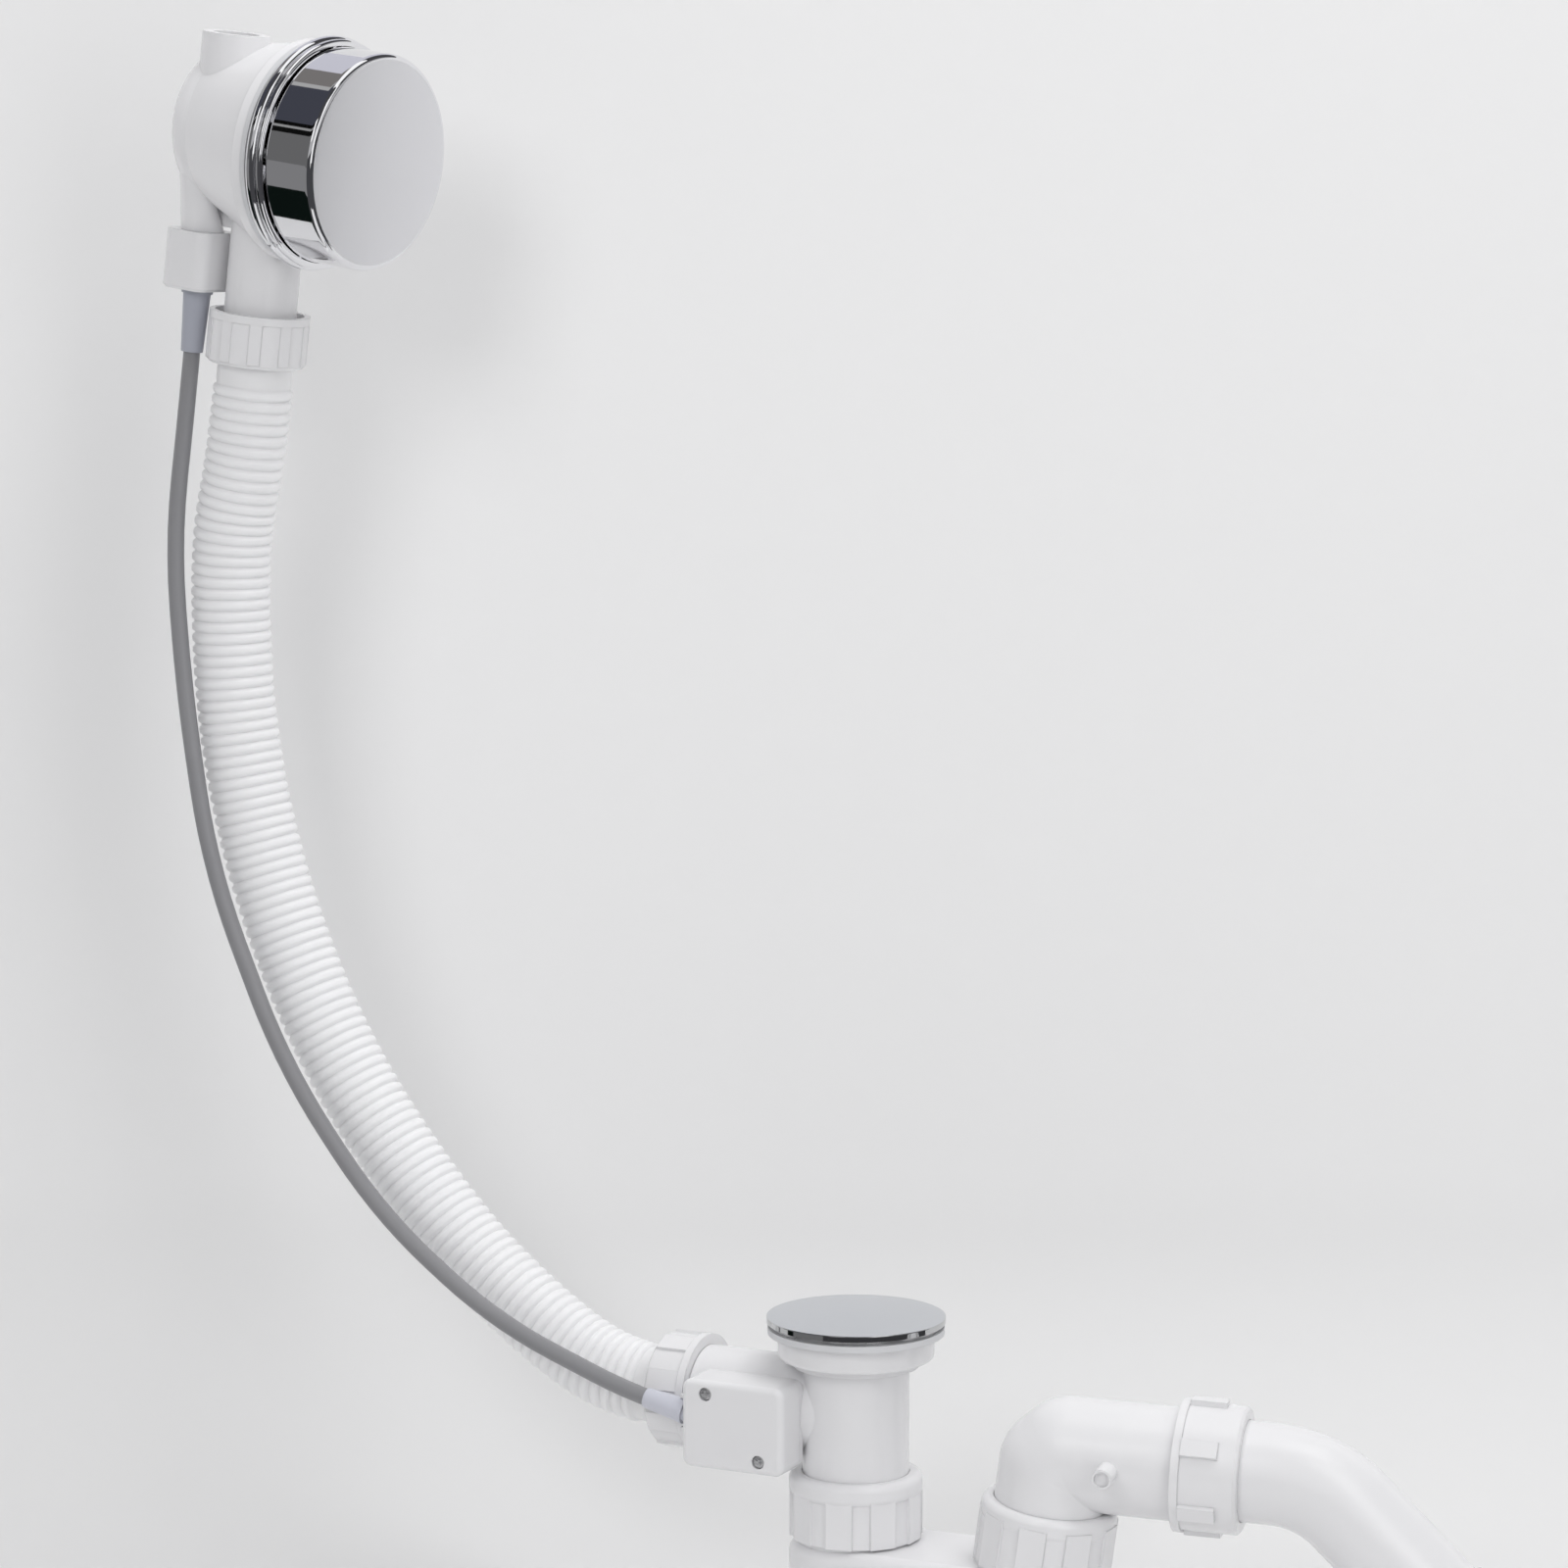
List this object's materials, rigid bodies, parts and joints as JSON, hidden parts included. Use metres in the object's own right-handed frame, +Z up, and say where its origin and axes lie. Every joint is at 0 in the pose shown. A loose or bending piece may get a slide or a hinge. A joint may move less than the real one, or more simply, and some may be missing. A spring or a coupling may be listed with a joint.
{
  "type": "bath waste and overflow",
  "caption": "Bath waste and overflow set: chrome turning knob on the overflow, corrugated hose and control cable to a pop-up plug waste with a low trap and an outlet bend.",
  "frame": {"origin": "on the waste's axis at the top face of the waste body's flange, where the bath's underside is clamped", "axes": "+Z up along the waste's axis, +X from the overflow wall into the bath, towards the outlet"},
  "size_m": [0.5929, 0.109, 0.6532],
  "materials": {
    "white_plastic": "glossy white moulded plastic",
    "hose_plastic": "white flexible corrugated plastic",
    "chrome_satin_face": "chrome, bright side and satin face",
    "chrome_bright": "bright chrome",
    "chrome_plug": "chrome with a satin crown",
    "steel": "turned stainless steel",
    "brass": "plain brass",
    "inner_plastic": "natural moulded plastic",
    "cable_grey": "grey cable sheath",
    "ferrule_lilac": "pale lilac-grey moulded sleeve",
    "rubber_black": "black rubber",
    "gasket_grey": "pale grey soft rubber"
  },
  "bodies": {
    "drain": {"overflow_body": "white_plastic", "cable_clip_housing": "white_plastic", "upper_hose_nut": "white_plastic", "lower_hose_nut": "white_plastic", "waste_body": "white_plastic", "mechanism_cover": "white_plastic", "trap_inlet_nut": "white_plastic", "trap_body": "white_plastic", "riser_nut": "white_plastic", "outlet_elbow": "white_plastic", "union_nut": "white_plastic", "outlet_bend": "white_plastic", "overflow_hose": "hose_plastic", "overflow_rosette": "chrome_bright", "rosette_screws": "steel", "cover_screws": "steel", "valve_flange": "steel", "flange_screw": "brass", "cable_sheath": "cable_grey", "upper_ferrule": "ferrule_lilac", "lower_ferrule": "ferrule_lilac", "overflow_gasket": "rubber_black", "waste_gasket": "gasket_grey", "upper_hose_seal": "rubber_black", "lower_hose_seal": "rubber_black", "trap_inlet_washer": "rubber_black", "riser_washer": "rubber_black", "union_washer": "rubber_black"},
    "knob": {"knob": "chrome_satin_face", "knob_spindle": "steel", "spindle_clip": "steel", "cable_drum": "inner_plastic"},
    "upper_core": {"cable_core_upper": "steel"},
    "lower_core": {"cable_core_lower": "steel"},
    "rocker": {"rocker_shaft": "inner_plastic", "rocker_lever": "inner_plastic"},
    "plug": {"plug": "chrome_plug", "plug_seal": "rubber_black", "plug_stem": "steel", "stem_nut": "brass"}
  },
  "joints": [
    {"name": "knob_turn", "type": "hinge", "parent": "drain", "child": "knob", "pos_m": [-0.264, 0, 0.47], "axis": [0.9829, -0.1392, -0.1207], "range_deg": [0, 45.8]},
    {"name": "upper_core_slide", "type": "slide", "parent": "drain", "child": "upper_core", "axis": [-0.1219, 0, -0.9925], "range_m": [0, 0.008]},
    {"name": "lower_core_slide", "type": "slide", "parent": "drain", "child": "lower_core", "axis": [0.9781, 0, -0.2079], "range_m": [0, 0.008]},
    {"name": "lever_rock", "type": "hinge", "parent": "drain", "child": "rocker", "pos_m": [-0.0225, 0, -0.02574], "axis": [0, -1, 0], "range_deg": [0, 30.93]},
    {"name": "plug_lift", "type": "slide", "parent": "drain", "child": "plug", "axis": [0, 0, 1], "range_m": [0, 0.012]}
  ],
  "couplings": [
    {"joint": "upper_core_slide", "follows": "knob_turn", "m_per_rad": 0.01},
    {"joint": "lower_core_slide", "follows": "knob_turn", "m_per_rad": 0.01},
    {"joint": "lever_rock", "follows": "knob_turn", "ratio": 0.67483},
    {"joint": "plug_lift", "follows": "knob_turn", "m_per_rad": 0.015}
  ]
}
